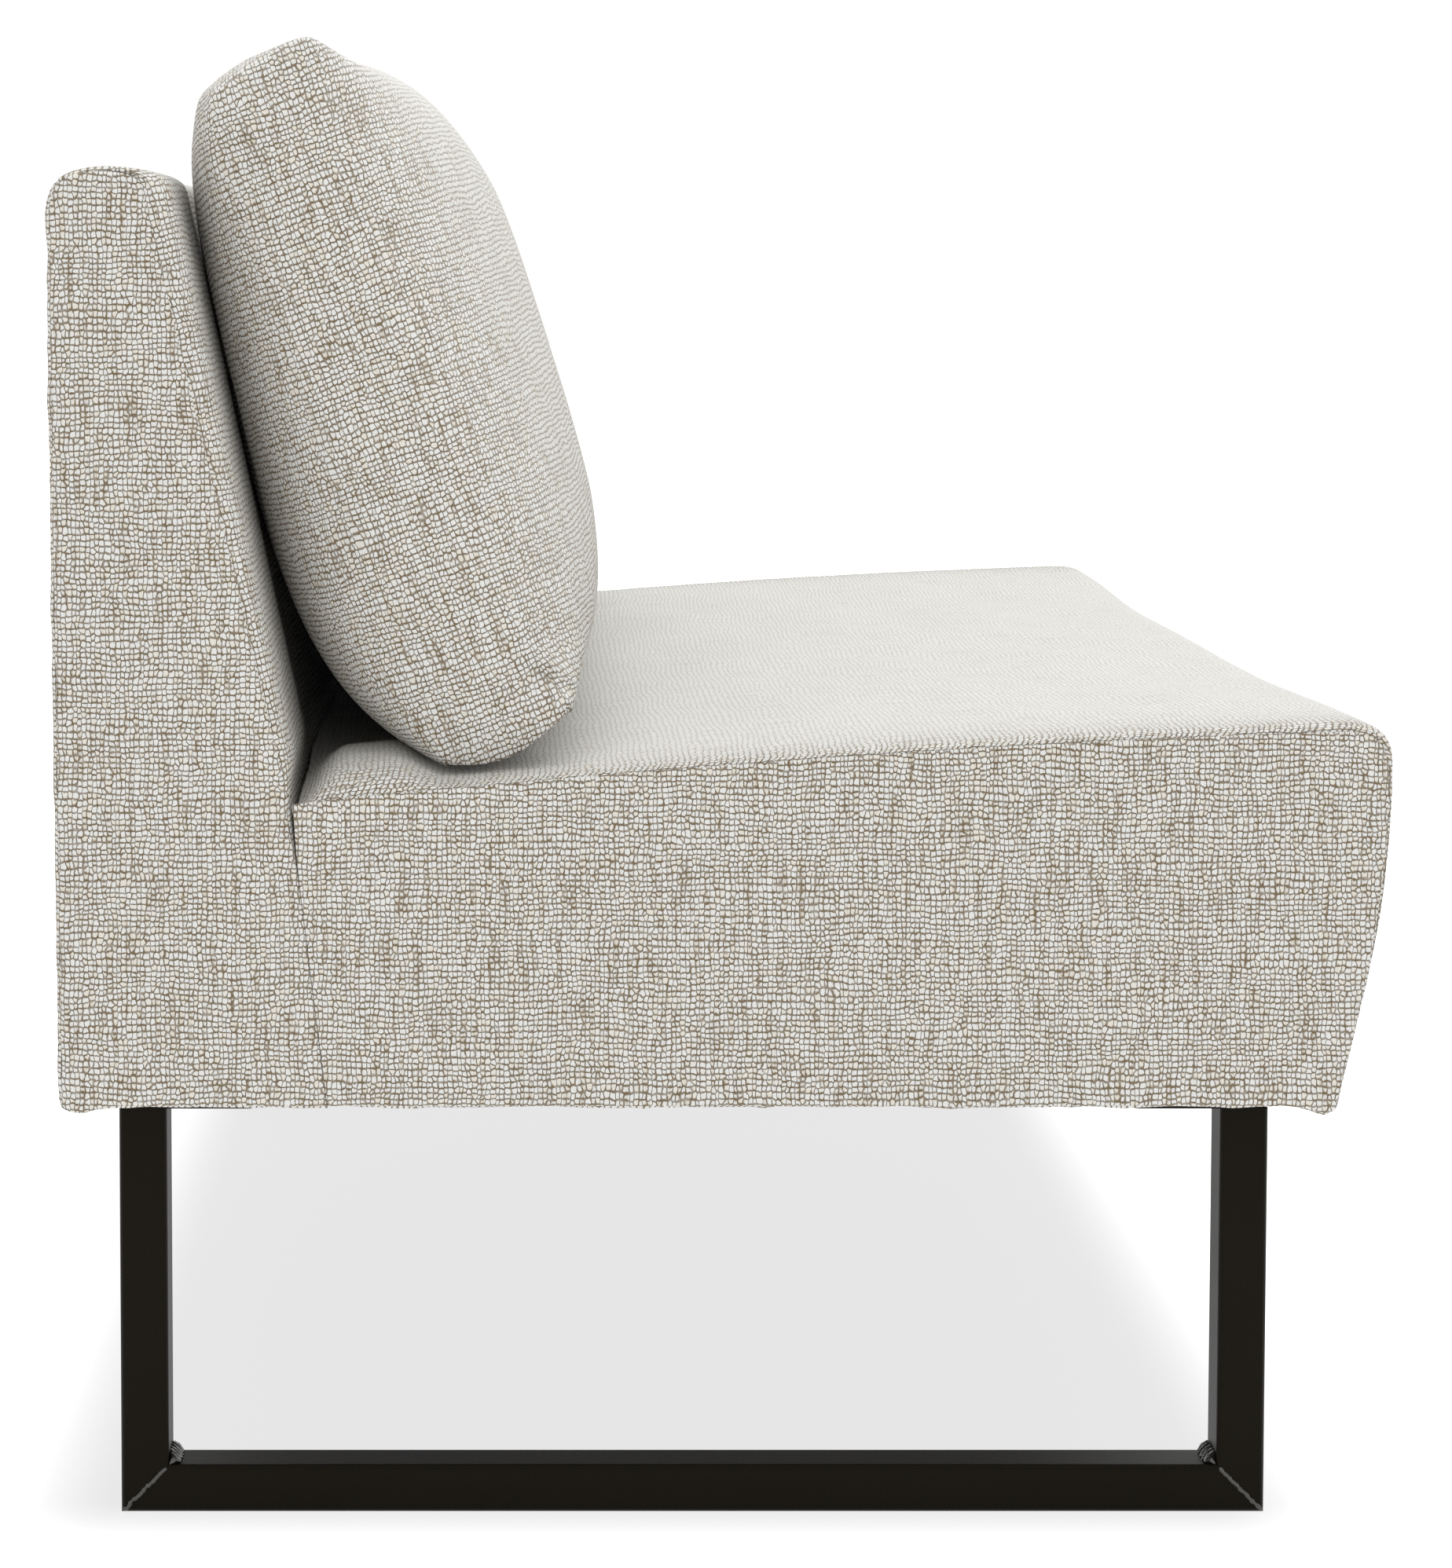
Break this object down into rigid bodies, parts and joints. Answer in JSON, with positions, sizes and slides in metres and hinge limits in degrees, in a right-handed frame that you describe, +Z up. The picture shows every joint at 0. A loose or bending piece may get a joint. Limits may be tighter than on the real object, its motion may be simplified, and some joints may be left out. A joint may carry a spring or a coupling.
{
  "type": "dining bench",
  "caption": "Armless upholstered dining bench with a low raked back, a loose back cushion and square-tube sled legs.",
  "frame": {"origin": "on the floor, under the middle of the bench's overall box", "axes": "+X along the bench, -Y towards the sitter's front, +Z up"},
  "size_m": [1.12, 0.83, 0.9253],
  "materials": {
    "leg_tube": "satin",
    "weld_bead": "satin",
    "mount_plate": "satin",
    "zinc_fastener": "satin",
    "woven_cover": "matte",
    "foam": "matte",
    "felt": "matte",
    "webbing": "matte",
    "dust_cloth": "matte",
    "fibreboard": "matte",
    "frame_wood": "matte"
  },
  "bodies": {
    "bench": {"back_board": "fibreboard", "back_cover": "woven_cover", "back_foam": "foam", "back_webbing": "webbing", "centre_rail": "frame_wood", "centre_stile": "frame_wood", "corner_blocks": "frame_wood", "dust_cover": "dust_cloth", "front_foam": "foam", "front_rail": "frame_wood", "left_back_end_pad": "foam", "left_back_end_panel": "woven_cover", "left_back_post": "frame_wood", "left_end_rail": "frame_wood", "left_front_leg": "leg_tube", "left_front_plate": "mount_plate", "left_rear_leg": "leg_tube", "left_rear_plate": "mount_plate", "left_runner": "leg_tube", "left_seat_end_pad": "foam", "left_seat_end_panel": "woven_cover", "left_weld_beads": "weld_bead", "leg_bolts": "zinc_fastener", "leg_washers": "zinc_fastener", "lower_back_rail": "frame_wood", "post_bolts": "zinc_fastener", "post_nuts": "zinc_fastener", "rail_dowels": "frame_wood", "rear_rail": "frame_wood", "rear_wadding": "felt", "right_back_end_pad": "foam", "right_back_end_panel": "woven_cover", "right_back_post": "frame_wood", "right_end_rail": "frame_wood", "right_front_leg": "leg_tube", "right_front_plate": "mount_plate", "right_rear_leg": "leg_tube", "right_rear_plate": "mount_plate", "right_runner": "leg_tube", "right_seat_end_pad": "foam", "right_seat_end_panel": "woven_cover", "right_weld_beads": "weld_bead", "seat_cover": "woven_cover", "seat_felt": "felt", "seat_foam": "foam", "seat_webbing_end_to_end": "webbing", "seat_webbing_front_to_back": "webbing", "tee_nuts": "zinc_fastener", "top_back_rail": "frame_wood", "top_foam": "foam", "web_rail": "frame_wood"},
    "cushion": {"cushion_back_panel": "woven_cover", "cushion_boxing": "woven_cover", "cushion_core": "foam", "cushion_front_panel": "woven_cover"}
  },
  "joints": [
    {"name": "cushion_lift", "type": "slide", "parent": "bench", "child": "cushion", "axis": [0, 0, 1], "range_m": [0, 0.45]}
  ]
}
